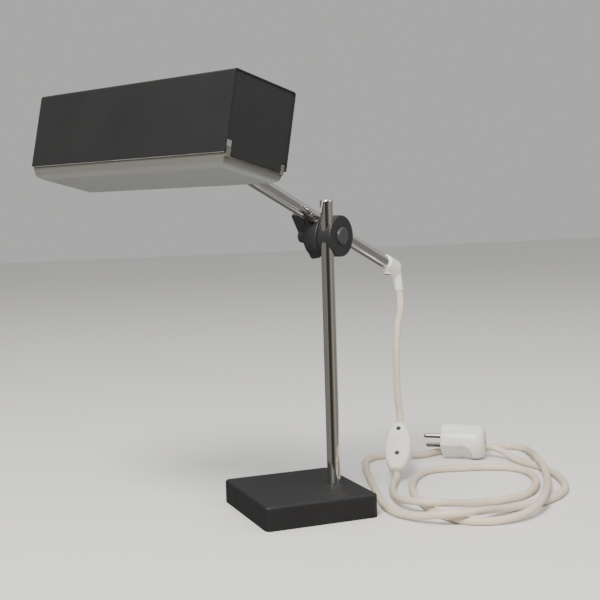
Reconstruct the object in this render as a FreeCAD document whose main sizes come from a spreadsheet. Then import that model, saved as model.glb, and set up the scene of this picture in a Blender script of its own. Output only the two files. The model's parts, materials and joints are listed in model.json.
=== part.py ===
import FreeCAD, Part
import math
import os

# Architect desk lamp: a flat weighted base, an upright stem near its right edge, a two-disc clamp
# that holds a sloping arm, and a box shade on a ball swivel at the arm's front end. The cord leaves
# the arm's rear end, hangs to an in-line switch and lies in loops on the table to its mains plug.
# Frame: origin at the centre of the base's underside, +Z up, +X along the base's width.

doc = FreeCAD.newDocument("architect_desk_lamp")
sheet = doc.addObject("Spreadsheet::Sheet", "Dimensions")

DIMENSIONS = {
    "base_width": 104.0,
    "base_depth": 116.0,
    "base_height": 21.0,
    "base_corner": 5.0,
    "base_edge": 2.5,
    "base_wall": 1.6,
    "felt_thick": 1.5,
    "weight_gap": 0.4,
    "tube_diameter": 12.0,
    "tube_bore": 10.0,
    "stem_x": 34.5,
    "stem_top": 274.5,
    "cap_height": 2.5,
    "tunnel_diameter": 12.12,
    "disc_radius": 18.7,
    "disc_thick": 15.0,
    "disc_edge": 1.2,
    "disc_gap": 0.4,
    "bolt_offset": 12.0,
    "bolt_diameter": 5.0,
    "bolt_hole": 5.1,
    "bolt_head_radius": 8.0,
    "bolt_head_height": 2.4,
    "clamp_height": 244.0,
    "nut_radius": 6.2,
    "nut_length": 14.5,
    "wing_length": 26.0,
    "wing_thick": 2.8,
    "arm_rear": 120.0,
    "arm_front": 168.5,
    "shade_length": 222.0,
    "shade_depth": 62.0,
    "shade_height": 58.0,
    "sheet_metal": 1.0,
    "liner_thick": 0.8,
    "panel_thick": 1.5,
    "diffuser_drop": 9.5,
    "diffuser_wall": 1.5,
    "diffuser_edge": 6.0,
    "ball_radius": 7.0,
    "ball_reach": 14.0,
    "cord_diameter": 7.0,
    "switch_length": 51.0,
    "switch_width": 26.0,
    "switch_thick": 18.0,
    "plug_radius": 18.7,
    "plug_length": 45.0,
    "pin_diameter": 4.8,
    "pin_length": 19.0,
    "pin_spacing": 19.0,
}
for row, (alias, number) in enumerate(DIMENSIONS.items(), start=1):
    cell = f"A{row}"
    sheet.set(cell, str(number))
    sheet.setAlias(cell, alias)
doc.recompute()

V = FreeCAD.Vector
NODES = []


def size(alias):
    """The number in the sheet's cell of that alias."""
    return float(sheet.get(alias))


def bind(obj, **expressions):
    """Bind each named property to an expression of the sheet's cells."""
    for prop, text in expressions.items():
        for alias in sorted(DIMENSIONS, key=len, reverse=True):
            text = text.replace(f"<{alias}>", f"Dimensions.{alias}")
        obj.setExpression(prop, text)
    return obj


def place(obj, frame, at=(0, 0, 0), axis=(0, 0, 1), turn=0.0):
    """Put an object at a point of a frame, its own Z along axis, turned about that axis."""
    lean = FreeCAD.Rotation(V(0, 0, 1), V(*axis))
    spin = FreeCAD.Rotation(V(0, 0, 1), turn)
    obj.Placement = frame.multiply(FreeCAD.Placement(V(*at), lean.multiply(spin)))
    return obj


def cylinder(radius, height, frame, at=(0, 0, 0), axis=(0, 0, 1)):
    """A round bar that starts at the point and runs along axis."""
    obj = doc.addObject("Part::Cylinder", "cylinder")
    bind(obj, Radius=radius, Height=height)
    return place(obj, frame, at, axis)


def cone(radius1, radius2, height, frame, at=(0, 0, 0), axis=(0, 0, 1)):
    """A tapered bar of radius1 at the point and radius2 at its far end."""
    obj = doc.addObject("Part::Cone", "cone")
    bind(obj, Radius1=radius1, Radius2=radius2, Height=height)
    return place(obj, frame, at, axis)


def box(length, width, height, frame, at=(0, 0, 0), axis=(0, 0, 1), turn=0.0):
    """A block whose near lower corner is at the point."""
    obj = doc.addObject("Part::Box", "block")
    bind(obj, Length=length, Width=width, Height=height)
    return place(obj, frame, at, axis, turn)


def sphere(radius, frame, at=(0, 0, 0)):
    obj = doc.addObject("Part::Sphere", "ball")
    bind(obj, Radius=radius)
    return place(obj, frame, at)


def fuse(*shapes):
    obj = doc.addObject("Part::MultiFuse", "joined")
    obj.Shapes = list(shapes)
    obj.Refine = True
    return obj


def cut(base, *tools):
    """Base less the tools; it has to lose volume."""
    obj = doc.addObject("Part::Cut", "cut")
    obj.Base = base
    obj.Tool = tools[0] if len(tools) == 1 else fuse(*tools)
    doc.recompute()
    if obj.Shape.Volume >= base.Shape.Volume - 1e-6:
        raise ValueError("a cut removed nothing")
    return obj


def rounded(base, radius, wanted):
    """Base with the edges for which wanted(edge) is true rounded to radius."""
    doc.recompute()
    obj = doc.addObject("Part::Fillet", "rounded")
    obj.Base = base
    edges = []
    for index, edge in enumerate(base.Shape.Edges, start=1):
        if wanted(edge):
            edges.append((index, radius, radius))
    obj.Edges = edges
    doc.recompute()
    return obj


def node(label, obj):
    """Name a sub-part, which is written to a file of that name."""
    obj.Label = label
    NODES.append(obj)
    return obj


def shape_node(label, shape, frame=FreeCAD.Placement()):
    """A sub-part whose shape comes from Part's own functions."""
    obj = doc.addObject("Part::Feature", label)
    obj.Shape = shape
    obj.Placement = frame.multiply(shape.Placement)
    return node(label, obj)


def middle(edge):
    return edge.valueAt((edge.FirstParameter + edge.LastParameter) / 2)


def is_along(edge, axis):
    """True for a straight edge parallel to axis."""
    if not isinstance(edge.Curve, Part.Line):
        return False
    return abs(edge.tangentAt(edge.FirstParameter).dot(axis)) > 0.999


def frame_of(origin, x_axis, y_axis):
    z_axis = x_axis.cross(y_axis)
    rotation = FreeCAD.Rotation(x_axis, y_axis, z_axis, "XYZ")
    return FreeCAD.Placement(origin, rotation)


def heading(azimuth, fall):
    """The unit vector at azimuth degrees from +X that falls by fall degrees."""
    a = math.radians(azimuth)
    b = math.radians(fall)
    return V(math.cos(a) * math.cos(b), math.sin(a) * math.cos(b), -math.sin(b))


# Frames -------------------------------------------------------------------------------------------

ARM_AZIMUTH = 32.6
ARM_FALL = 21.3
SHADE_AZIMUTH = 26.7
SHADE_FALL = 12.9

world = FreeCAD.Placement()
UP = V(0, 0, 1)

# Clamp: X along the arm's level heading, Y along the bolt towards the wing nut, on the stem's axis.
clamp_x = heading(ARM_AZIMUTH, 0)
clamp_y = UP.cross(clamp_x)
clamp = frame_of(V(size("stem_x"), 0, size("clamp_height")), clamp_x, clamp_y)
front_face = -size("disc_thick") / 2 - 0.2
front_back = front_face + size("disc_thick")
rear_face = front_back + size("disc_gap")
rear_back = rear_face + size("disc_thick")
arm_line = rear_face + size("disc_thick") / 2
bolt_x = size("bolt_offset")

# Arm: X along the arm to its rear end, Z up, origin abreast of the bolt on the arm's own axis.
arm_x = heading(ARM_AZIMUTH, ARM_FALL)
arm_up = arm_x.cross(clamp_y)
bolt_centre = clamp.multVec(V(bolt_x, arm_line, 0))
arm = frame_of(bolt_centre + arm_up * size("bolt_offset"), arm_x, clamp_y)
tilt = frame_of(clamp.multVec(V(bolt_x, 0, 0)), arm_x, clamp_y)

# Shade: X from its front to its back, Y along its length, origin at its back wall's centre.
ball_centre = arm.multVec(V(-size("arm_front") - 12.0, 0, 0))
shade_x = heading(SHADE_AZIMUTH, SHADE_FALL)
shade_y = UP.cross(heading(SHADE_AZIMUTH, 0))
shade = frame_of(ball_centre - shade_x * size("ball_reach"), shade_x, shade_y)

# Base ---------------------------------------------------------------------------------------------

half_width = size("base_width") / 2
half_depth = size("base_depth") / 2
wall = size("base_wall")
felt = size("felt_thick")


def base_block(inset, bottom, height):
    """A block of the base's plan less inset all round, with its upright corners rounded."""
    block = box(
        f"<base_width> - {2 * inset}",
        f"<base_depth> - {2 * inset}",
        height,
        world,
        (inset - half_width, inset - half_depth, bottom),
    )
    return rounded(block, size("base_corner") - inset * 0.8, lambda edge: is_along(edge, UP))


outer = base_block(0.0, 0.0, "<base_height>")
top_z = size("base_height")
outer = rounded(outer, size("base_edge"), lambda edge: middle(edge).z > top_z - 0.01)
inner = base_block(wall, -1.0, "<base_height> - <base_wall> + 1")
stem_hole = cylinder("<tube_diameter> / 2 + 0.15", "<base_height>", world, (size("stem_x"), 0, 5))
node("base_cover", cut(outer, inner, stem_hole))

gap = wall + size("weight_gap")
slab = base_block(gap, felt, "<base_height> - <base_wall> - <felt_thick> - 0.5")
stem_well = cylinder("<tube_diameter> / 2 + 0.05", "<base_height>", world, (size("stem_x"), 0, 6))
nut_well = cylinder("11", "4.62", world, (size("stem_x"), 0, felt - 0.1))
stud_hole = cylinder("<tube_bore> / 2", "<base_height>", world, (size("stem_x"), 0, 0))
node("base_weight", cut(slab, stem_well, nut_well, stud_hole))
node("base_felt", base_block(gap, 0.0, "<felt_thick>"))

# Stem ---------------------------------------------------------------------------------------------

stem_foot = 6.1
tube = cylinder("<tube_diameter> / 2", f"<stem_top> - {stem_foot}", world, (size("stem_x"), 0, stem_foot))
bore = cylinder("<tube_bore> / 2", "<stem_top>", world, (size("stem_x"), 0, stem_foot + 6))
node("stem_tube", cut(tube, bore))
cap_edge = size("stem_top") + size("cap_height") - 0.01
plug_in = cylinder("<tube_bore> / 2 - 0.02", "5", world, (size("stem_x"), 0, size("stem_top") - 5))
lid = cylinder("<tube_diameter> / 2", "<cap_height>", world, (size("stem_x"), 0, size("stem_top")))
lid = rounded(lid, 2.0, lambda edge: middle(edge).z > cap_edge)
node("stem_cap", fuse(lid, plug_in))
washer = cylinder("9.5", "1.2", world, (size("stem_x"), 0, 4.78))
washer_hole = cylinder("<tube_bore> / 2 - 1", "3", world, (size("stem_x"), 0, 4))
node("stem_washer", cut(washer, washer_hole))
stud_head = cylinder("7", "2.95", world, (size("stem_x"), 0, 1.8))
stud = cylinder("<tube_bore> / 2 - 1.05", "4", world, (size("stem_x"), 0, 2.05))
node("stem_nut", fuse(stud_head, stud))

# Clamp --------------------------------------------------------------------------------------------


def in_clamp(point):
    return clamp.inverse().multVec(point)


def disc(frame, near, bolt_from, tunnel_at, tunnel_axis):
    """One clamp half: a thick disc about the bolt with an off-centre tunnel for a tube."""
    axis = (0, 1, 0)
    blank = cylinder("<disc_radius>", "<disc_thick>", frame, (bolt_from, near, 0), axis)
    blank = rounded(blank, size("disc_edge"), lambda edge: edge.Length > 100)
    reach = 2 * size("disc_radius")
    start = tuple(at - reach * step for at, step in zip(tunnel_at, tunnel_axis))
    tunnel = cylinder("<tunnel_diameter> / 2", "<disc_radius> * 4", frame, start, tunnel_axis)
    hole = cylinder("<bolt_hole> / 2", "<disc_thick> * 2", frame, (bolt_from, near - 5, 0), axis)
    return cut(blank, tunnel, hole)


node("clamp_front_half", disc(clamp, front_face, bolt_x, (0, 0, 0), (0, 0, 1)))
arm_tunnel = (0, arm_line, size("bolt_offset"))
node("clamp_rear_half", disc(tilt, rear_face, 0, arm_tunnel, (1, 0, 0)))

ring_at = (bolt_x, front_back, 0)
friction_ring = cylinder("<bolt_head_radius> + 1", "<disc_gap>", clamp, ring_at, (0, 1, 0))
ring_hole = cylinder("<bolt_hole> / 2", "3", clamp, (bolt_x, front_back - 1, 0), (0, 1, 0))
node("clamp_friction_washer", cut(friction_ring, ring_hole))

head_at = (bolt_x, front_face, 0)
head = cylinder("<bolt_head_radius>", "<bolt_head_height>", clamp, head_at, (0, -1, 0))
head = rounded(head, 2.0, lambda edge: edge.Length > 10 and in_clamp(middle(edge)).y < front_face - 1)
SHANK_END = 36.5
shank = cylinder("<bolt_diameter> / 2", f"{SHANK_END - front_face}", clamp, head_at, (0, 1, 0))
node("clamp_bolt", fuse(head, shank))

nut_washer = cylinder("<nut_radius> + 1", "1", clamp, (bolt_x, rear_back, 0), (0, 1, 0))
nut_washer_hole = cylinder("<bolt_hole> / 2", "4", clamp, (bolt_x, rear_back - 1, 0), (0, 1, 0))
node("wing_nut_washer", cut(nut_washer, nut_washer_hole))

nut_near = rear_back + 1.05
hub_at = (bolt_x, nut_near, 0)
hub = cone("<nut_radius> + 0.6", "<nut_radius> - 0.4", "<nut_length>", clamp, hub_at, (0, 1, 0))
hub_end = nut_near + size("nut_length")
hub = rounded(hub, 1.5, lambda edge: edge.Length > 20 and in_clamp(middle(edge)).y > hub_end - 0.1)
nut_bore = cylinder("<bolt_hole> / 2", "<nut_length> * 2", clamp, (bolt_x, nut_near - 16, 0), (0, 1, 0))
WING_ANGLE = 126.0
reach = size("wing_length")
outline = [V(3, 0.8, 0), V(reach - 2, 1.8, 0), V(reach, 13.0, 0), V(3, 14.0, 0), V(3, 0.8, 0)]
wings = []
for side in (0.0, 180.0):
    angle = math.radians(WING_ANGLE + side)
    out = V(math.cos(angle), 0, math.sin(angle))
    blade = Part.Face(Part.makePolygon(outline)).extrude(V(0, 0, size("wing_thick")))
    tips = [edge for edge in blade.Edges if is_along(edge, UP) and middle(edge).x > 10]
    wing = doc.addObject("Part::Feature", "wing")
    wing.Shape = blade.makeFillet(2.2, tips)
    wing_frame = clamp.multiply(frame_of(V(bolt_x, nut_near, 0), out, V(0, 1, 0)))
    middle_plane = FreeCAD.Placement(V(0, 0, -size("wing_thick") / 2), FreeCAD.Rotation())
    wing.Placement = wing_frame.multiply(middle_plane)
    wings.append(wing)
node("wing_nut", cut(fuse(hub, *wings), nut_bore))

# Arm ----------------------------------------------------------------------------------------------

arm_length = "<arm_front> + <arm_rear>"
arm_start = (-size("arm_front"), 0, 0)
pipe = cylinder("<tube_diameter> / 2", arm_length, arm, arm_start, (1, 0, 0))
pipe_bore = cylinder("<tube_bore> / 2", f"{arm_length} + 10", arm, (arm_start[0] - 5, 0, 0), (1, 0, 0))
node("arm_tube", cut(pipe, pipe_bore))

# The grip is a plastic elbow: a sleeve over the arm's rear end, and a tapered spout that leans a little.


def in_arm(point):
    return arm.inverse().multVec(point)


rear = size("arm_rear")
down = arm.Rotation.inverted().multVec(V(0, 0, -1))
spout_at = V(rear + 13.0, 0, 0)
spout_way = V(0.146, -0.056, -0.988).normalize()
spout_in_arm = arm.Rotation.inverted().multVec(spout_way)
boss_at = V(rear - 4.2, 0, 0)
SPOUT_LENGTH = 22.0
BOSS_LENGTH = 10.4
GRIP_END_RADIUS = 6.6
sleeve = cylinder("7.8", "24", arm, (rear - 7.5, 0, 0), (1, 0, 0))
sleeve = rounded(sleeve, GRIP_END_RADIUS, lambda edge: edge.Length > 30 and in_arm(middle(edge)).x > rear)
spout = cone("5.6", "4.1", f"{SPOUT_LENGTH}", arm, tuple(spout_at), tuple(spout_in_arm))
elbow = sphere("5.6", arm, tuple(spout_at))
socket = cylinder("<tube_diameter> / 2 + 0.02", "24", arm, (rear - 24.0, 0, 0), (1, 0, 0))
boss = cylinder("3.3", f"{BOSS_LENGTH}", arm, tuple(boss_at), tuple(down))
node("cord_grip", cut(fuse(sleeve, elbow, spout, boss), socket))
exit_at = arm.multVec(spout_at + spout_in_arm * SPOUT_LENGTH)
screw_from = arm.multVec(boss_at + down * BOSS_LENGTH)
node("cord_grip_screw", cylinder("2.3", "1.2", world, tuple(screw_from), (0, 0, -1)))

# The swivel at the arm's front end: a socket on the tube and a ball on a hollow stem.
cup = cylinder("<ball_radius> + 1.8", "13", arm, (-size("arm_front") - 14.5, 0, 0), (1, 0, 0))
neck_at = (-size("arm_front") - 1.5, 0, 0)
neck = cone("<ball_radius> + 1.8", "<tube_diameter> / 2 + 1", "6", arm, neck_at, (1, 0, 0))
seat = sphere("<ball_radius> + 0.05", world, tuple(ball_centre))
tube_seat = cylinder("<tube_diameter> / 2 + 0.02", "20", arm, arm_start, (1, 0, 0))
wire_way = cylinder("4", "30", arm, (-size("arm_front") - 20, 0, 0), (1, 0, 0))
node("swivel_socket", cut(fuse(cup, neck), seat, tube_seat, wire_way))
ball = sphere("<ball_radius>", world, tuple(ball_centre))
ball_stem = cylinder("4", "<ball_reach> + 6", shade, (-6, 0, 0), (1, 0, 0))
ball_way = cylinder("2.6", "40", shade, (-10, 0, 0), (1, 0, 0))
node("swivel_ball", cut(fuse(ball, ball_stem), ball_way))

# Shade --------------------------------------------------------------------------------------------

length = size("shade_length")
depth = size("shade_depth")
height = size("shade_height")
metal = size("sheet_metal")
liner = size("liner_thick")
panel = size("panel_thick")
along = shade.Rotation.multVec(V(0, 1, 0))


def in_shade(point):
    return shade.inverse().multVec(point)


def channel(inset, thick, ends, corner):
    """A sheet bent to an upside-down channel: front wall, top and back wall."""
    low = -height / 2
    skin = box(
        f"<shade_depth> - {2 * inset}",
        f"<shade_length> - {2 * ends}",
        f"<shade_height> - {inset}",
        shade,
        (inset - depth, ends - length / 2, low),
    )
    skin = rounded(skin, corner, lambda edge: is_along(edge, along) and in_shade(middle(edge)).z > 0)
    hollow = box(
        f"<shade_depth> - {2 * (inset + thick)}",
        "<shade_length> + 10",
        f"<shade_height> - {inset + thick} + 5",
        shade,
        (inset + thick - depth, -length / 2 - 5, low - 5),
    )
    return cut(skin, hollow)


entry = cylinder("4.05", "8", shade, (-5, 0, 0), (1, 0, 0))
node("shade_cover", cut(channel(0.0, metal, 0.0, 2.0), entry))
liner_entry = cylinder("4.05", "8", shade, (-5, 0, 0), (1, 0, 0))
node("shade_reflector", cut(channel(metal, liner, panel + 0.9, 1.0), liner_entry))

# Each end plate's two lower corners are cut away, where the diffuser's corner tabs stand up.
inset = metal + liner
bottom = -height / 2
plate_bottom = bottom - 1.5
FRONT_NOTCH = (5.5, 9.0)
BACK_NOTCH = (4.5, 5.0)
END_GAP = 0.6


def notch(size_xz, from_x, near):
    """A block that cuts a lower corner, wide and high as size_xz says, from an end plate."""
    wide, high = size_xz
    start = (from_x, near - 1, plate_bottom - 1)
    return box(f"{wide}", "<panel_thick> + 2", f"{high + bottom - plate_bottom + 1}", shade, start)


for name, near in (("left", length / 2 - panel - END_GAP), ("right", END_GAP - length / 2)):
    plate = box(
        "<shade_depth> - 2 * <sheet_metal> - 0.1",
        "<panel_thick>",
        f"<shade_height> - <sheet_metal> - 0.1 + {bottom - plate_bottom}",
        shade,
        (metal + 0.05 - depth, near, plate_bottom),
    )
    front_cut = notch(FRONT_NOTCH, metal - depth, near)
    back_cut = notch(BACK_NOTCH, -metal - BACK_NOTCH[0], near)
    plate = cut(plate, front_cut, back_cut)
    plate = rounded(plate, 2.5, lambda edge: is_along(edge, along) and in_shade(middle(edge)).z < bottom)
    node(f"shade_end_{name}", plate)

drop = size("diffuser_drop")
edge_round = size("diffuser_edge")
skin_gap = metal + liner + 0.05
TRAY_RIM = 7.0
TAB_RIM = 4.4
FRONT_TAB = 4.4
BACK_TAB = 3.4
tray_end = panel + 0.9 - length / 2
tray = box(
    f"<shade_depth> - {2 * skin_gap}",
    f"<shade_length> - {2 * (panel + 0.9)}",
    f"<diffuser_drop> + {TRAY_RIM}",
    shade,
    (skin_gap - depth, tray_end, bottom - drop),
)
tray = rounded(tray, edge_round, lambda edge: in_shade(middle(edge)).z < bottom - drop + 0.01)
tabs = []
for wide, from_x in ((FRONT_TAB, skin_gap - depth), (BACK_TAB, -skin_gap - BACK_TAB)):
    for near in (tray_end - 1.6, -tray_end - 0.4):
        tabs.append(box(f"{wide}", "2.0", f"{TAB_RIM} + 3.0", shade, (from_x, near, bottom - 3.0)))
tray = fuse(tray, *tabs)
tray_hollow = box(
    f"<shade_depth> - {2 * skin_gap} - 2 * <diffuser_wall>",
    f"<shade_length> - {2 * (panel + 0.9)} - 2 * <diffuser_wall>",
    "<diffuser_drop> + 20",
    shade,
    (
        skin_gap + size("diffuser_wall") - depth,
        tray_end + size("diffuser_wall"),
        bottom - drop + size("diffuser_wall"),
    ),
)
tray_hollow = rounded(tray_hollow, edge_round - 1.5, lambda edge: in_shade(middle(edge)).z < bottom)
node("diffuser", cut(tray, tray_hollow))
for name, near in (("left", -tray_end + 0.2), ("right", tray_end - 1.4)):
    clip_at = (skin_gap - depth, near, bottom + TAB_RIM + 0.05)
    node(f"diffuser_clip_{name}", box(f"{FRONT_TAB}", "1.2", "4.4", shade, clip_at))

# Lamp holder on a bent bracket under the top of the shade, and a tubular lamp along the shade.
lamp_x = -depth / 2
LAMP_Z = -2.0
holder_y = 62.0
bracket_top = height / 2 - inset
foot = box("24", "20", "1.5", shade, (lamp_x - 12, holder_y - 2, bracket_top - 1.5))
upright = box("24", "1.5", "36", shade, (lamp_x - 12, holder_y, bracket_top - 36))
holder_hole = cylinder("5", "8", shade, (lamp_x, holder_y - 3, LAMP_Z), (0, 1, 0))
node("holder_bracket", cut(fuse(foot, upright), holder_hole))
holder = cylinder("13.5", "30", shade, (lamp_x, holder_y - 0.05, LAMP_Z), (0, -1, 0))
nipple = cylinder("4.9", "12", shade, (lamp_x, holder_y - 2, LAMP_Z), (0, 1, 0))
holder_bore = cylinder("8.4", "26", shade, (lamp_x, holder_y - 8, LAMP_Z), (0, -1, 0))
node("lamp_holder", cut(fuse(holder, nipple), holder_bore))
holder_nut = cylinder("8", "3", shade, (lamp_x, holder_y + 1.55, LAMP_Z), (0, 1, 0))
holder_nut_hole = cylinder("4.95", "8", shade, (lamp_x, holder_y, LAMP_Z), (0, 1, 0))
node("holder_nut", cut(holder_nut, holder_nut_hole))
lamp_cap = cylinder("8.3", "22", shade, (lamp_x, holder_y - 8.5, LAMP_Z), (0, -1, 0))
node("lamp_cap", lamp_cap)
glass_start = holder_y - 30.55
glass = cylinder("12.5", "95", shade, (lamp_x, glass_start, LAMP_Z), (0, -1, 0))
glass = rounded(glass, 8.0, lambda edge: edge.Length > 50)
node("lamp_glass", glass)
swivel_nut = cylinder("8", "3", shade, (-inset - 0.05, 0, 0), (-1, 0, 0))
swivel_nut_hole = cylinder("4.05", "8", shade, (-inset + 1, 0, 0), (-1, 0, 0))
node("swivel_nut", cut(swivel_nut, swivel_nut_hole))

# Cord ---------------------------------------------------------------------------------------------

cord_radius = size("cord_diameter") / 2


def bent_wire(points):
    """Straight runs through the points, each corner an arc as large as its two runs allow."""
    edges = []
    radii = []
    start = points[0]
    for before, corner, after in zip(points, points[1:], points[2:]):
        one = before - corner
        two = after - corner
        turn = math.pi - one.getAngle(two)
        back = 0.45 * min(one.Length, two.Length)
        radius = back / math.tan(turn / 2)
        radii.append(radius)
        first = corner + one.normalize() * back
        last = corner + two.normalize() * back
        bisector = (one + two).normalize()
        centre_away = radius / math.cos(turn / 2)
        crown = corner + bisector * (centre_away - radius)
        edges.append(Part.LineSegment(start, first).toShape())
        edges.append(Part.Arc(first, crown, last).toShape())
        start = last
    edges.append(Part.LineSegment(start, points[-1]).toShape())
    return edges, radii


def tube_along(edges):
    """A round solid of the cord's diameter swept along edges; prints its volume against its length."""
    path = Part.Wire(edges)
    start = edges[0].valueAt(edges[0].FirstParameter)
    tangent = edges[0].tangentAt(edges[0].FirstParameter)
    ring = Part.Wire(Part.Circle(start, tangent, cord_radius).toShape())
    solid = path.makePipeShell([ring], True, False)
    expected = math.pi * cord_radius**2 * path.Length
    print(f"cord stretch {path.Length:.1f} mm, volume ratio {solid.Volume / expected:.4f}")
    return solid


def switch_outline():
    """The switch's outline across its width: flat ends joined by two long arcs."""
    tall = size("switch_length")
    half = size("switch_width") / 2
    left_side = Part.Arc(V(-END_LOW, 0, 0), V(-half, 0, tall * 0.55), V(-END_HIGH, 0, tall)).toShape()
    right_side = Part.Arc(V(END_HIGH, 0, tall), V(half, 0, tall * 0.55), V(END_LOW, 0, 0)).toShape()
    top = Part.LineSegment(V(-END_HIGH, 0, tall), V(END_HIGH, 0, tall)).toShape()
    bottom = Part.LineSegment(V(END_LOW, 0, 0), V(-END_LOW, 0, 0)).toShape()
    return Part.Face(Part.Wire([left_side, top, right_side, bottom]))


# The switch leans on the hanging cord, its lower end towards the base's front right corner.
END_LOW = 6.0
END_HIGH = 4.6
switch_low = V(121.5, 48.0, 9.8)
switch_up = V(0.335, 0.51, 0.79).normalize()
switch_x = UP.cross(switch_up).normalize() * -1
switch = frame_of(switch_low, switch_x, switch_up.cross(switch_x))
switch_top = switch_low + switch_up * size("switch_length")
half_thick = size("switch_thick") / 2
rocker_z = size("switch_length") * 0.54
PIVOT_Y = 6.2
PIVOT_RADIUS = 1.2
ROCKER_HALF = 8.3


def switch_half(side):
    """One moulded half of the switch: side -1 is the screw face, +1 the rocker face."""
    half = switch_outline().extrude(V(0, side * half_thick, 0))
    rim = [edge for edge in half.Edges if abs(middle(edge).y) > half_thick - 0.01]
    half = half.makeFillet(3.2, rim)
    cord_way = Part.makeCylinder(cord_radius, 20, V(0, 0, -12), UP)
    return half.cut(cord_way)


screw_heights = (size("switch_length") * 0.33, size("switch_length") * 0.85)
SCREW_DEPTH = 5.0
front_half = switch_half(-1)
back_half = switch_half(1)
for screw_z in screw_heights:
    well = Part.makeCylinder(2.4, SCREW_DEPTH + 1, V(0, -half_thick - 1, screw_z), V(0, 1, 0))
    front_half = front_half.cut(well)
rocker_slot = Part.makeBox(12.4, 7, 18.4, V(-6.2, half_thick - 5.8, rocker_z - 9.2))
pivot_bore = Part.makeCylinder(PIVOT_RADIUS + 0.05, 15.4, V(-7.7, PIVOT_Y, rocker_z), V(1, 0, 0))
back_half = back_half.cut(rocker_slot).cut(pivot_bore)
seam_gap = V(0, 0.05, 0)
front_half.translate(seam_gap * -1)
back_half.translate(seam_gap)
shape_node("switch_screw_half", front_half, switch)
shape_node("switch_rocker_half", back_half, switch)
for name, screw_z in zip(("lower", "upper"), screw_heights):
    head_from = SCREW_DEPTH - half_thick - 1.2
    head_shape = Part.makeCylinder(2.3, 1.1, V(0, head_from, screw_z), V(0, 1, 0))
    slot_shape = Part.makeBox(5, 0.6, 0.7, V(-2.5, head_from - 0.1, screw_z - 0.35))
    shape_node(f"switch_screw_{name}", head_shape.cut(slot_shape), switch)
rocker = Part.makeBox(11.4, 4.6, 2 * ROCKER_HALF, V(-5.7, -1.2, -ROCKER_HALF))
rocker_top = [edge for edge in rocker.Edges if middle(edge).y > 3.3]
rocker = rocker.makeFillet(0.9, rocker_top)
rocker = rocker.fuse(Part.makeCylinder(PIVOT_RADIUS, 15.0, V(-7.5, 0, 0), V(1, 0, 0))).removeSplitter()
rocker.translate(V(0, PIVOT_Y + 0.05, rocker_z))
shape_node("switch_rocker", rocker, switch)

drop_points = [
    exit_at,
    exit_at + spout_way * 14,
    exit_at + V(-3.8, -0.5, -38.3),
    exit_at + V(-5.3, -1.1, -62.5),
    switch_top + V(3.1, 11.1, 50.3),
    switch_top + V(2.8, 10.0, 28.0),
    switch_top + switch_up * 10.5,
    switch_top,
]
drop_edges, drop_radii = bent_wire(drop_points)
SPLIT = 6
shape_node("cord_drop_upper", tube_along(drop_edges[:SPLIT]))
shape_node("cord_drop_lower", tube_along(drop_edges[SPLIT:]))

# Plug: its round body lies on the table, turned so that its pins stand one above the other.
PLUG_AZIMUTH = 143.0
PLUG_ROLL = 42.0
ENTRY_OFFSET = 7.5
ENTRY_DEPTH = 3.0
SEAM = 0.12
PIN_ROOT = 8.0
plug_face = V(211.5, 120.0, size("plug_radius") + 0.2)
plug_x = heading(PLUG_AZIMUTH, 0)
roll = FreeCAD.Placement(V(), FreeCAD.Rotation(V(1, 0, 0), PLUG_ROLL))
plug = frame_of(plug_face, plug_x, UP.cross(plug_x)).multiply(roll)
plug_length = size("plug_length")
cord_end = plug.multVec(V(ENTRY_DEPTH - plug_length, -ENTRY_OFFSET, 0))

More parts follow.
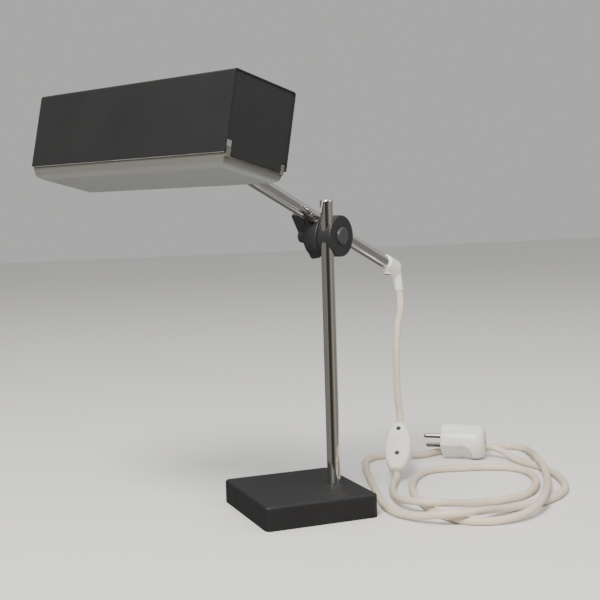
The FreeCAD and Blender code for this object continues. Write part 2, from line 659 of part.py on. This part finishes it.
# The floor cord: from the switch round an inner loop, an outer loop and a last one to the plug.
FLOOR = 3.6
FLOOR_ROUTE = [
    (109, 31, FLOOR), (98.5, 11.5, 4), (88, -13.5, 5.6), (81, -38, 8), (81.5, -55, 10.2),
    (87.5, -69, 11.6), (99.5, -77.5, 11.6), (115, -77.5, 9.5), (131, -74, 6.4), (146, -69.5, 4.4),
    (162, -69, FLOOR), (177.5, -68.5, FLOOR), (193, -65, FLOOR), (209.5, -54.5, FLOOR),
    (226, -36.5, FLOOR), (240.5, -12.5, FLOOR), (249.5, 15.5, FLOOR), (243, 35.5, FLOOR),
    (226, 48, FLOOR), (204.5, 55.5, FLOOR), (184, 62.5, FLOOR), (165.5, 64, FLOOR),
    (148.5, 54, FLOOR), (131.5, 33.5, FLOOR), (117, 8, FLOOR), (106.5, -19, FLOOR),
    (100.5, -45.5, FLOOR), (97, -69.5, FLOOR), (97.5, -88.5, FLOOR), (101.5, -103.5, FLOOR),
    (108.5, -115.5, FLOOR), (120, -123, FLOOR), (134, -125.5, FLOOR), (146.5, -126, 4.6),
    (158, -124.5, 6.4), (171, -119, 8.6), (184.5, -108.5, 10.6), (200.5, -90.5, 11.6),
    (222, -60.5, 9.4), (241.5, -31, 7.4), (253.5, -10.5, 8), (262.5, 8.5, 10.2), (269, 26, 11.6),
    (281, 51.5, 9.4), (294.5, 80, 5.6), (302, 97, FLOOR), (302.5, 113, FLOOR), (294, 125, FLOOR),
    (280, 130, FLOOR), (264, 130.5, FLOOR), (248.5, 132.5, FLOOR), (235.5, 136.5, FLOOR),
    (222, 138.5, FLOOR), (208.5, 135, FLOOR), (196, 130, FLOOR), (183.5, 131.5, FLOOR),
    (172, 138.5, FLOOR), (159.5, 145.5, FLOOR), (146, 147.5, FLOOR), (134, 142, FLOOR),
    (125.5, 130.5, FLOOR), (119, 116.5, FLOOR), (111, 98, FLOOR), (102.5, 73.5, FLOOR),
    (93, 45.5, FLOOR), (84.5, 19.5, FLOOR), (76, -5.5, FLOOR), (69, -28.5, FLOOR),
    (65.5, -48.5, FLOOR), (65.5, -64, FLOOR), (69.5, -77.5, 4.4), (73.5, -90, 6.2),
    (80.5, -100.5, 8.4), (88.5, -110, 10.6), (100, -115, 11.6), (114, -114.5, 11),
    (132, -107.5, 8.4), (151.5, -100.5, 5.6), (172.5, -94, FLOOR), (191, -92, FLOOR),
    (209.5, -86, FLOOR), (230, -73, FLOOR), (247, -53.5, FLOOR), (260, -27.5, FLOOR),
    (269, 2, FLOOR), (270.5, 26.5, FLOOR), (267, 43.5, FLOOR), (266, 58.5, FLOOR),
    (266, 72.5, 5.2), (261.5, 87.5, 10.8),
]
floor_points = [switch_low, switch_low - switch_up * 7.6]
floor_points += [V(*point) for point in FLOOR_ROUTE]
floor_points.append(cord_end)
floor_edges, floor_radii = bent_wire(floor_points)
shape_node("cord_floor", tube_along(floor_edges))
print("smallest radii", sorted(round(r, 1) for r in drop_radii + floor_radii)[:8])


def turned_body():
    """The plug's body of revolution: a rounded front edge and a full, rounded rear."""
    big = size("plug_radius")
    rear_face = 8.0
    shoulder = 9.5
    waist = big - 0.7
    lines = [
        Part.LineSegment(V(0, 0, 0), V(-plug_length, 0, 0)),
        Part.LineSegment(V(-plug_length, 0, 0), V(-plug_length, rear_face, 0)),
        Part.Arc(
            V(-plug_length, rear_face, 0),
            V(-plug_length + 0.27 * shoulder, rear_face + 0.74 * (waist - rear_face), 0),
            V(-plug_length + shoulder, waist, 0),
        ),
        Part.LineSegment(V(-plug_length + shoulder, waist, 0), V(-1.5, big, 0)),
        Part.Arc(V(-1.5, big, 0), V(-0.44, big - 0.44, 0), V(0, big - 1.5, 0)),
        Part.LineSegment(V(0, big - 1.5, 0), V(0, 0, 0)),
    ]
    return Part.Face(Part.Wire([line.toShape() for line in lines])).revolve(V(), V(1, 0, 0), 360)


def plug_half(side):
    """Half of the plug's body, with half of each bore, a finger recess and half of each rib."""
    keep = Part.makeBox(2 * plug_length, 60, 30, V(-1.5 * plug_length, -30, SEAM))
    if side < 0:
        keep = keep.mirror(V(), V(0, 0, 1))
    half = turned_body().common(keep)
    recess = Part.makeBox(24, 50, 12, V(-22, -25, side * 19.6 - 6))
    scoop = Part.makeCylinder(13.5, 50, V(-22, -25, side * 26.2), V(0, 1, 0))
    half = half.cut(recess).cut(scoop)
    for pin_side in (-1, 1):
        rib = Part.makeBox(13.5, 4, 1.7, V(-14, pin_side * 17.3 - 2, SEAM))
        if side < 0:
            rib = rib.mirror(V(), V(0, 0, 1))
        half = half.fuse(rib)
        pin_y = pin_side * size("pin_spacing") / 2
        bore_radius = size("pin_diameter") / 2 + 0.01
        bore = Part.makeCylinder(bore_radius, PIN_ROOT + 1, V(-PIN_ROOT, pin_y, 0), V(1, 0, 0))
        half = half.cut(bore)
    for entry_y in (-ENTRY_OFFSET, -ENTRY_OFFSET + 4):
        start = V(-plug_length - 1, entry_y, 0)
        half = half.cut(Part.makeCylinder(cord_radius + 0.6, ENTRY_DEPTH + 1, start, V(1, 0, 0)))
    return half.removeSplitter()


shape_node("plug_half_upper", plug_half(1), plug)
shape_node("plug_half_lower", plug_half(-1), plug)
for name, side in (("left", 1), ("right", -1)):
    pin_radius = size("pin_diameter") / 2
    pin_start = V(-PIN_ROOT, side * size("pin_spacing") / 2, 0)
    pin = Part.makeCylinder(pin_radius, size("pin_length") + PIN_ROOT, pin_start, V(1, 0, 0))
    tip = [edge for edge in pin.Edges if middle(edge).x > size("pin_length") - 0.1 and edge.Length > 10]
    shape_node(f"plug_pin_{name}", pin.makeFillet(1.9, tip), plug)

# Checks and files ---------------------------------------------------------------------------------

doc.recompute()
for item in doc.Objects:
    if "Invalid" in item.State or "Error" in item.State:
        raise ValueError(f"{item.Label} failed: {item.State}")
os.makedirs("parts", exist_ok=True)
for item in NODES:
    if item.Shape.isNull() or not item.Shape.isValid():
        raise ValueError(f"{item.Label} has no valid shape")
    item.Shape.exportStep(os.path.join("parts", f"{item.Label}.step"))
    print(item.Label, len(item.Shape.Solids), round(item.Shape.Volume / 1000, 2))
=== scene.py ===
import json
import math

import bpy
from mathutils import Matrix, Vector


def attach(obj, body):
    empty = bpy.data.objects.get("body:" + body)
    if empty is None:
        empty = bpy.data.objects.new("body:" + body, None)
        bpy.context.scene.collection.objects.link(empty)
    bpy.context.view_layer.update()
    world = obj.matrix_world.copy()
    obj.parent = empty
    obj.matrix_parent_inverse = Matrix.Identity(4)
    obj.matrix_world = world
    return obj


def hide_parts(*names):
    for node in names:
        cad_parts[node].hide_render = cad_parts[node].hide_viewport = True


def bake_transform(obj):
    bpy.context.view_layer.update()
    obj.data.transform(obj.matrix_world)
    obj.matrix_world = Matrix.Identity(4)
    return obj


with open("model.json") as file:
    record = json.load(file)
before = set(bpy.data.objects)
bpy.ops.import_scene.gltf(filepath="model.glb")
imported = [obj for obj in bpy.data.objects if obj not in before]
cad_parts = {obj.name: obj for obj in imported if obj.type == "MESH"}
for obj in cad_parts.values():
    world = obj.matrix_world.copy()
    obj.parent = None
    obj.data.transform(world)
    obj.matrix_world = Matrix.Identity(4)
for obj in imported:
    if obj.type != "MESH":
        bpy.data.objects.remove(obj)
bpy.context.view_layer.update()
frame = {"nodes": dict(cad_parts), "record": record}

MM = 0.001
record = frame["record"]


# Materials ----------------------------------------------------------------------------------------

MATERIALS = {}
TINT_DETAIL = 5.0
ROUGHNESS_DETAIL = 6.0
USUAL_NOISE = (0.35, 0.65)


def new_material(name, color, roughness, metallic=0.0, **sockets):
    """A principled material, kept by name; extra keywords set its other sockets."""
    material = bpy.data.materials.new(name)
    material.use_nodes = True
    shader = material.node_tree.nodes["Principled BSDF"]
    shader.inputs["Base Color"].default_value = (*color, 1.0)
    shader.inputs["Roughness"].default_value = roughness
    shader.inputs["Metallic"].default_value = metallic
    for socket, value in sockets.items():
        shader.inputs[socket.replace("_", " ")].default_value = value
    MATERIALS[name] = material
    return material


def noise(material, scale, detail=2.0):
    """A noise texture in object coordinates, at so many features per metre."""
    nodes = material.node_tree.nodes
    place = nodes.new("ShaderNodeTexCoord")
    node = nodes.new("ShaderNodeTexNoise")
    node.inputs["Scale"].default_value = scale
    node.inputs["Detail"].default_value = detail
    material.node_tree.links.new(place.outputs["Object"], node.inputs["Vector"])
    return node.outputs["Fac"]


def color_ramp(tree, share, tones):
    """Colour by a value from 0 to 1: tones of (position, colour)."""
    ramp = tree.nodes.new("ShaderNodeValToRGB")
    stops = ramp.color_ramp.elements
    while len(stops) < len(tones):
        stops.new(1.0)
    for stop, (position, color) in zip(stops, tones):
        stop.position = position
        stop.color = (*color, 1.0)
    tree.links.new(share, ramp.inputs["Fac"])
    return ramp.outputs["Color"]


def to_range(material, socket, low, high, start, stop):
    """A socket's value mapped from start..stop to low..high."""
    node = material.node_tree.nodes.new("ShaderNodeMapRange")
    node.inputs["From Min"].default_value = start
    node.inputs["From Max"].default_value = stop
    node.inputs["To Min"].default_value = low
    node.inputs["To Max"].default_value = high
    material.node_tree.links.new(socket, node.inputs["Value"])
    return node.outputs["Result"]


def add_roughness(material, scale, low, high):
    """Roughness that drifts between two values."""
    shader = material.node_tree.nodes["Principled BSDF"]
    value = to_range(material, noise(material, scale, ROUGHNESS_DETAIL), low, high, *USUAL_NOISE)
    material.node_tree.links.new(value, shader.inputs["Roughness"])


def add_bump(material, *layers):
    """Relief in metres: layers of (features per metre, height)."""
    tree = material.node_tree
    shader = tree.nodes["Principled BSDF"]
    previous = None
    for scale, height in layers:
        bump = tree.nodes.new("ShaderNodeBump")
        bump.inputs["Distance"].default_value = height
        bump.inputs["Strength"].default_value = 1.0
        tree.links.new(noise(material, scale), bump.inputs["Height"])
        if previous:
            tree.links.new(previous, bump.inputs["Normal"])
        previous = bump.outputs["Normal"]
    tree.links.new(previous, shader.inputs["Normal"])


def add_tint(material, scale, one, two, start=0.4, stop=0.6):
    """Colour that drifts between two tones."""
    tree = material.node_tree
    color = color_ramp(tree, noise(material, scale, TINT_DETAIL), [(start, one), (stop, two)])
    tree.links.new(color, tree.nodes["Principled BSDF"].inputs["Base Color"])


def add_height_colors(material, up, low, high, tones):
    """Colour by how far up a point lies, from low to high in metres: tones of (share, colour)."""
    tree = material.node_tree
    place = tree.nodes.new("ShaderNodeTexCoord")
    reach = tree.nodes.new("ShaderNodeVectorMath")
    reach.operation = "DOT_PRODUCT"
    reach.inputs[1].default_value = up
    tree.links.new(place.outputs["Object"], reach.inputs[0])
    share = to_range(material, reach.outputs["Value"], 0.0, 1.0, low, high)
    color = color_ramp(tree, share, tones)
    tree.links.new(color, tree.nodes["Principled BSDF"].inputs["Base Color"])


# The diffuser's colours from its flat bottom, over the rounded edge, up its walls: painted shade that
# darkens the walls towards the cover and end panels, a slight painted highlight on the rounded edge,
# and warmer walls. Heights are in metres along the shade's own up direction.
SHADE_UP = (0.1994, 0.1003, 0.9748)
DIFFUSER_BOTTOM = 0.247
DIFFUSER_TOP = 0.2565
DIFFUSER_PAINTED_LIGHT_TONES = [
    (0.0, (0.22, 0.225, 0.22)),
    (0.06, (0.23, 0.235, 0.23)),
    (0.16, (0.20, 0.204, 0.192)),
    (0.40, (0.125, 0.127, 0.115)),
    (0.70, (0.11, 0.109, 0.094)),
    (1.0, (0.11, 0.109, 0.094)),
]


def make_materials():
    enamel = new_material("black_enamel", (0.017, 0.017, 0.0175), 0.5, Specular_IOR_Level=0.35)
    add_tint(enamel, 14.0, (0.0155, 0.0155, 0.016), (0.0185, 0.0185, 0.019), 0.3, 0.7)
    add_roughness(enamel, 60.0, 0.46, 0.54)
    add_bump(enamel, (2600.0, 0.00001), (900.0, 0.000015))

    plastic = new_material("black_plastic", (0.020, 0.020, 0.021), 0.45)
    add_tint(plastic, 90.0, (0.018, 0.018, 0.019), (0.022, 0.022, 0.023))
    add_roughness(plastic, 240.0, 0.38, 0.55)
    add_bump(plastic, (3200.0, 0.00003))

    iron = new_material("cast_iron", (0.16, 0.16, 0.16), 0.7, 0.6)
    add_tint(iron, 120.0, (0.12, 0.12, 0.12), (0.22, 0.21, 0.20))
    add_bump(iron, (900.0, 0.0003))

    felt = new_material("felt", (0.03, 0.03, 0.03), 0.95, Sheen_Weight=0.5)
    add_tint(felt, 900.0, (0.018, 0.018, 0.018), (0.05, 0.05, 0.05))
    add_bump(felt, (3500.0, 0.0003))

    chrome = new_material("chrome", (0.84, 0.82, 0.79), 0.08, 1.0)
    add_roughness(chrome, 180.0, 0.05, 0.11)
    add_bump(chrome, (60.0, 0.00001))

    zinc = new_material("zinc_steel", (0.50, 0.49, 0.47), 0.4, 1.0)
    add_roughness(zinc, 500.0, 0.34, 0.48)
    add_bump(zinc, (1500.0, 0.00002))

    steel = new_material("black_steel", (0.045, 0.045, 0.047), 0.35)
    add_roughness(steel, 300.0, 0.28, 0.42)
    add_bump(steel, (2500.0, 0.00002))

    white = new_material("white_enamel", (0.82, 0.82, 0.79), 0.3)
    add_tint(white, 40.0, (0.78, 0.78, 0.74), (0.86, 0.86, 0.83))
    add_bump(white, (900.0, 0.00002))

    opal = new_material(
        "opal_acrylic",
        (0.40, 0.40, 0.38),
        0.3,
        Subsurface_Weight=0.2,
        Subsurface_Scale=0.004,
        Coat_Weight=0.2,
        Coat_Roughness=0.15,
    )
    # Painted shade up the diffuser's walls and a painted highlight on its rounded edge, set by height.
    add_height_colors(opal, SHADE_UP, DIFFUSER_BOTTOM, DIFFUSER_TOP, DIFFUSER_PAINTED_LIGHT_TONES)
    add_roughness(opal, 60.0, 0.28, 0.34)

    lamp_white = new_material("white_plastic", (0.82, 0.82, 0.78), 0.35)
    add_bump(lamp_white, (1500.0, 0.00002))

    brass = new_material("lamp_brass", (0.72, 0.58, 0.32), 0.3, 1.0)
    add_tint(brass, 200.0, (0.62, 0.50, 0.28), (0.78, 0.64, 0.38))
    add_roughness(brass, 300.0, 0.22, 0.42)

    glass = new_material("frosted_glass", (0.9, 0.9, 0.88), 0.4, Transmission_Weight=0.4)
    add_bump(glass, (2500.0, 0.00002))

    cream = new_material(
        "cream_plastic",
        (0.85, 0.845, 0.79),
        0.38,
        Subsurface_Weight=0.12,
        Subsurface_Scale=0.003,
    )
    add_tint(cream, 70.0, (0.83, 0.825, 0.765), (0.87, 0.865, 0.815))
    add_roughness(cream, 400.0, 0.32, 0.46)
    add_bump(cream, (2800.0, 0.00002))

    cord = new_material(
        "cream_cord",
        (0.70, 0.615, 0.49),
        0.45,
        Subsurface_Weight=0.1,
        Subsurface_Scale=0.002,
    )
    add_tint(cord, 60.0, (0.67, 0.585, 0.46), (0.73, 0.645, 0.52))
    add_roughness(cord, 300.0, 0.4, 0.55)
    add_bump(cord, (2200.0, 0.00003), (300.0, 0.00006))

    nickel = new_material("nickel", (0.47, 0.45, 0.40), 0.35, 1.0)
    add_roughness(nickel, 350.0, 0.28, 0.42)
    add_bump(nickel, (900.0, 0.00001))


make_materials()
SLOT_OF = {part["node"]: part["material_slot"] for part in record["subparts"]}


def dress(obj, slot):
    """Give an object the material of one slot, and no other."""
    obj.data.materials.clear()
    obj.data.materials.append(MATERIALS[slot])
    return obj


for node_name, node_object in frame["nodes"].items():
    for index in range(len(node_object.material_slots)):
        node_object.material_slots[index].material = MATERIALS[SLOT_OF[node_name]]


# Camera and light ---------------------------------------------------------------------------------

SENSOR_WIDTH = 36.0
FOCAL_PER_WIDTH = 1.878
CAMERA_AT = Vector((-0.3547, -0.9322, 0.2686))
HEADING = math.radians(21.18)
DIP = math.radians(4.58)
ROLL = math.radians(-1.68)


def make_camera():
    """A camera that looks HEADING radians right of +Y, DIP down, with its top rolled by ROLL."""
    level = Vector((math.sin(HEADING), math.cos(HEADING), 0.0))
    ahead = level * math.cos(DIP) - Vector((0.0, 0.0, math.sin(DIP)))
    right = Vector((math.cos(HEADING), -math.sin(HEADING), 0.0))
    up = right.cross(ahead)
    side = right * math.cos(ROLL) + up * math.sin(ROLL)
    top = up * math.cos(ROLL) - right * math.sin(ROLL)
    data = bpy.data.cameras.new("camera")
    data.sensor_width = SENSOR_WIDTH
    data.lens = SENSOR_WIDTH * FOCAL_PER_WIDTH
    data.clip_start = 0.01
    camera = bpy.data.objects.new("camera", data)
    rows = Matrix((side, top, -ahead)).transposed().to_4x4()
    camera.matrix_world = Matrix.Translation(CAMERA_AT) @ rows
    bpy.context.collection.objects.link(camera)
    bpy.context.scene.camera = camera


def soft_light(name, at, target, size, power, tint=(1.0, 1.0, 1.0)):
    """A round area light, size metres across, that faces its target."""
    data = bpy.data.lights.new(name, "AREA")
    data.shape = "DISK"
    data.size = size
    data.energy = power
    data.color = tint
    light = bpy.data.objects.new(name, data)
    light.location = at
    light.rotation_euler = (Vector(target) - Vector(at)).to_track_quat("-Z", "Y").to_euler()
    bpy.context.collection.objects.link(light)


# The room that lights the object: its colour by azimuth in degrees from +X, and a bright ceiling that
# starts and is full at these heights of the view direction. BACKDROP is what the camera sees behind.
ROOM = [
    (-180, (0.19, 0.19, 0.18)), (-156, (0.19, 0.19, 0.18)), (-150, (0.30, 0.29, 0.27)),
    (-143, (0.12, 0.115, 0.10)), (-134, (0.05, 0.045, 0.037)), (-106, (0.04, 0.036, 0.03)),
    (-96, (0.08, 0.07, 0.06)), (-80, (0.20, 0.18, 0.16)), (-60, (0.38, 0.35, 0.32)),
    (-42, (0.24, 0.23, 0.22)), (0, (0.20, 0.20, 0.195)), (22, (0.50, 0.50, 0.50)),
    (38, (0.50, 0.50, 0.50)), (54, (0.14, 0.14, 0.14)), (92, (0.12, 0.12, 0.12)),
    (120, (0.19, 0.19, 0.18)), (180, (0.19, 0.19, 0.18)),
]
CEILING = (0.65, 0.64, 0.63, 1.0)
CEILING_START = 0.3
CEILING_FULL = 0.75
BACKDROP = (0.48, 0.48, 0.472, 1.0)


def make_world():
    """Plain pale behind the object, and for its lighting a room with darker and brighter sides."""
    world = bpy.data.worlds.new("studio")
    world.use_nodes = True
    tree = world.node_tree
    links = tree.links
    place = tree.nodes.new("ShaderNodeTexCoord")
    split = tree.nodes.new("ShaderNodeSeparateXYZ")
    links.new(place.outputs["Generated"], split.inputs["Vector"])
    azimuth = tree.nodes.new("ShaderNodeMath")
    azimuth.operation = "ARCTAN2"
    links.new(split.outputs["Y"], azimuth.inputs[0])
    links.new(split.outputs["X"], azimuth.inputs[1])
    turn = tree.nodes.new("ShaderNodeMapRange")
    turn.inputs["From Min"].default_value = -math.pi
    turn.inputs["From Max"].default_value = math.pi
    links.new(azimuth.outputs[0], turn.inputs["Value"])
    walls = color_ramp(
        tree,
        turn.outputs["Result"],
        [((degrees + 180) / 360, color) for degrees, color in ROOM],
    )
    height = tree.nodes.new("ShaderNodeMapRange")
    height.interpolation_type = "SMOOTHSTEP"
    height.inputs["From Min"].default_value = CEILING_START
    height.inputs["From Max"].default_value = CEILING_FULL
    links.new(split.outputs["Z"], height.inputs["Value"])
    room = tree.nodes.new("ShaderNodeMix")
    room.data_type = "RGBA"
    links.new(height.outputs["Result"], room.inputs["Factor"])
    links.new(walls, room.inputs["A"])
    room.inputs["B"].default_value = CEILING
    path = tree.nodes.new("ShaderNodeLightPath")
    seen = tree.nodes.new("ShaderNodeMix")
    seen.data_type = "RGBA"
    links.new(path.outputs["Is Camera Ray"], seen.inputs["Factor"])
    links.new(room.outputs["Result"], seen.inputs["A"])
    seen.inputs["B"].default_value = BACKDROP
    links.new(seen.outputs["Result"], tree.nodes["Background"].inputs["Color"])
    bpy.context.scene.world = world


FLOOR_HALF = 6.0
LAMP_MIDDLE = (0.05, 0.0, 0.15)


def make_stage():
    """A plain floor that the chrome doesn't mirror, and three soft lights."""
    mesh = bpy.data.meshes.new("floor")
    half = FLOOR_HALF
    corners = [(-half, -half, 0), (half, -half, 0), (half, half, 0), (-half, half, 0)]
    mesh.from_pydata(corners, [], [(0, 1, 2, 3)])
    floor = bpy.data.objects.new("floor", mesh)
    bpy.context.collection.objects.link(floor)
    mesh.materials.append(new_material("pale_floor", (0.80, 0.80, 0.79), 0.8))
    floor.visible_glossy = False
    soft_light("key", (-0.9, -1.2, 1.7), LAMP_MIDDLE, 0.8, 72.0, (1.0, 0.97, 0.93))
    soft_light("fill", (1.4, -1.0, 1.1), LAMP_MIDDLE, 1.2, 7.0)
    soft_light("rim", (0.4, 1.2, 2.2), LAMP_MIDDLE, 1.2, 6.0)


make_camera()
make_world()
make_stage()


# Cords --------------------------------------------------------------------------------------------

CORD_DIAMETER = 0.007


def cord_spline(name, points, bevel):
    """A curve whose one NURBS spline has the route's points, in metres, as its control points."""
    data = bpy.data.curves.new(name, "CURVE")
    data.dimensions = "3D"
    data.resolution_u = 12
    spline = data.splines.new("NURBS")
    spline.points.add(len(points) - 1)
    for point, place in zip(spline.points, points):
        point.co = (*place, 1.0)
    spline.order_u = 3
    spline.use_endpoint_u = True
    data.bevel_depth = bevel
    data.bevel_resolution = 6
    data.use_fill_caps = True
    curve = bpy.data.objects.new(name, data)
    bpy.context.collection.objects.link(curve)
    return curve


def line_of(points):
    """The points that the route's own spline runs through, and its length."""
    curve = cord_spline("route", points, 0.0)
    bpy.context.view_layer.update()
    graph = bpy.context.evaluated_depsgraph_get()
    mesh = bpy.data.meshes.new_from_object(curve.evaluated_get(graph))
    line = [vertex.co.copy() for vertex in mesh.vertices]
    bpy.data.objects.remove(curve)
    bpy.data.meshes.remove(mesh)
    length = sum((b - a).length for a, b in zip(line, line[1:]))
    return line, length


def mesh_of(obj, name):
    """A mesh object with an object's final shape, in place of it."""
    bpy.context.view_layer.update()
    graph = bpy.context.evaluated_depsgraph_get()
    mesh = bpy.data.meshes.new_from_object(obj.evaluated_get(graph))
    mesh.transform(obj.matrix_world)
    bpy.data.objects.remove(obj)
    made = bpy.data.objects.new(name, mesh)
    bpy.context.collection.objects.link(made)
    for face in mesh.polygons:
        face.use_smooth = True
    return made


def in_metres(route):
    """A route's points, given in millimetres."""
    return [Vector(point) * MM for point in route]


# Routes in millimetres. FLOOR is the height of the middle of a cord that lies on the table.
FLOOR = 3.6
SWITCH_LENGTH = 51.0
SWITCH_LOW = Vector((121.5, 48.0, 9.8))
SWITCH_UP = Vector((0.335, 0.51, 0.79)).normalized()
SWITCH_TOP = SWITCH_LOW + SWITCH_UP * SWITCH_LENGTH
EXIT = Vector((147.70, 87.15, 185.14))
SPOUT_WAY = Vector((0.146, -0.056, -0.988)).normalized()
SEAM = Vector((142.09, 85.65, 112.66))
PLUG_END = Vector((248.4, 99.2, 13.9))

DROP_UPPER = [
    EXIT,
    EXIT + SPOUT_WAY * 14,
    EXIT + Vector((-3.8, -0.5, -38.3)),
    EXIT + Vector((-5.3, -1.1, -62.5)),
    SEAM,
]
DROP_LOWER = [
    SEAM,
    SWITCH_TOP + Vector((3.1, 11.1, 50.3)),
    SWITCH_TOP + Vector((2.8, 10.0, 28.0)),
    SWITCH_TOP + SWITCH_UP * 10.5,
    SWITCH_TOP,
]
FLOOR_ROUTE = [
    SWITCH_LOW, SWITCH_LOW - SWITCH_UP * 7.6,
    (109, 31, FLOOR), (98.5, 11.5, 4), (88, -13.5, 5.6), (81, -38, 8), (81.5, -55, 10.2),
    (87.5, -69, 11.6), (99.5, -77.5, 11.6), (115, -77.5, 9.5), (131, -74, 6.4), (146, -69.5, 4.4),
    (162, -69, FLOOR), (177.5, -68.5, FLOOR), (193, -65, FLOOR), (209.5, -54.5, FLOOR),
    (226, -36.5, FLOOR), (240.5, -12.5, FLOOR), (249.5, 15.5, FLOOR), (243, 35.5, FLOOR),
    (226, 48, FLOOR), (204.5, 55.5, FLOOR), (184, 62.5, FLOOR), (165.5, 64, FLOOR),
    (148.5, 54, FLOOR), (131.5, 33.5, FLOOR), (117, 8, FLOOR), (106.5, -19, FLOOR),
    (100.5, -45.5, FLOOR), (97, -69.5, FLOOR), (97.5, -88.5, FLOOR), (101.5, -103.5, FLOOR),
    (108.5, -115.5, FLOOR), (120, -123, FLOOR), (134, -125.5, FLOOR), (146.5, -126, 4.6),
    (158, -124.5, 6.4), (171, -119, 8.6), (184.5, -108.5, 10.6), (200.5, -90.5, 11.6),
    (222, -60.5, 9.4), (241.5, -31, 7.4), (253.5, -10.5, 8), (262.5, 8.5, 10.2), (269, 26, 11.6),
    (281, 51.5, 9.4), (294.5, 80, 5.6), (302, 97, FLOOR), (302.5, 113, FLOOR), (294, 125, FLOOR),
    (280, 130, FLOOR), (264, 130.5, FLOOR), (248.5, 132.5, FLOOR), (235.5, 136.5, FLOOR),
    (222, 138.5, FLOOR), (208.5, 135, FLOOR), (196, 130, FLOOR), (183.5, 131.5, FLOOR),
    (172, 138.5, FLOOR), (159.5, 145.5, FLOOR), (146, 147.5, FLOOR), (134, 142, FLOOR),
    (125.5, 130.5, FLOOR), (119, 116.5, FLOOR), (111, 98, FLOOR), (102.5, 73.5, FLOOR),
    (93, 45.5, FLOOR), (84.5, 19.5, FLOOR), (76, -5.5, FLOOR), (69, -28.5, FLOOR),
    (65.5, -48.5, FLOOR), (65.5, -64, FLOOR), (69.5, -77.5, 4.4), (73.5, -90, 6.2),
    (80.5, -100.5, 8.4), (88.5, -110, 10.6), (100, -115, 11.6), (114, -114.5, 11),
    (132, -107.5, 8.4), (151.5, -100.5, 5.6), (172.5, -94, FLOOR), (191, -92, FLOOR),
    (209.5, -86, FLOOR), (230, -73, FLOOR), (247, -53.5, FLOOR), (260, -27.5, FLOOR),
    (269, 2, FLOOR), (270.5, 26.5, FLOOR), (267, 43.5, FLOOR), (266, 58.5, FLOOR),
    (266, 72.5, 5.2), (261.5, 87.5, 10.8),
    PLUG_END,
]


def make_floor_cord():
    """The cord on the table, from the switch to the plug; returns its length."""
    points = in_metres(FLOOR_ROUTE)
    length = line_of(points)[1]
    cord = cord_spline("floor_cord", points, CORD_DIAMETER / 2)
    dress(cord, "cream_cord")
    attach(cord, "base")
    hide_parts("cord_floor")
    return length


def make_drop(name, route, replaced):
    """One stretch of the hanging cord, made as a mesh in place of a part; returns its length."""
    points = in_metres(route)
    line, length = line_of(points)
    cord = mesh_of(cord_spline(name, points, CORD_DIAMETER / 2), name)
    dress(cord, "cream_cord")
    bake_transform(cord)
    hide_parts(replaced)
    return length


drop_lengths = [
    make_drop(
        "hanging_cord_upper",
        DROP_UPPER,
        "cord_drop_upper",
    ),
    make_drop(
        "hanging_cord_lower",
        DROP_LOWER,
        "cord_drop_lower",
    ),
]
floor_length = make_floor_cord()
print("cord lengths", drop_lengths, floor_length)
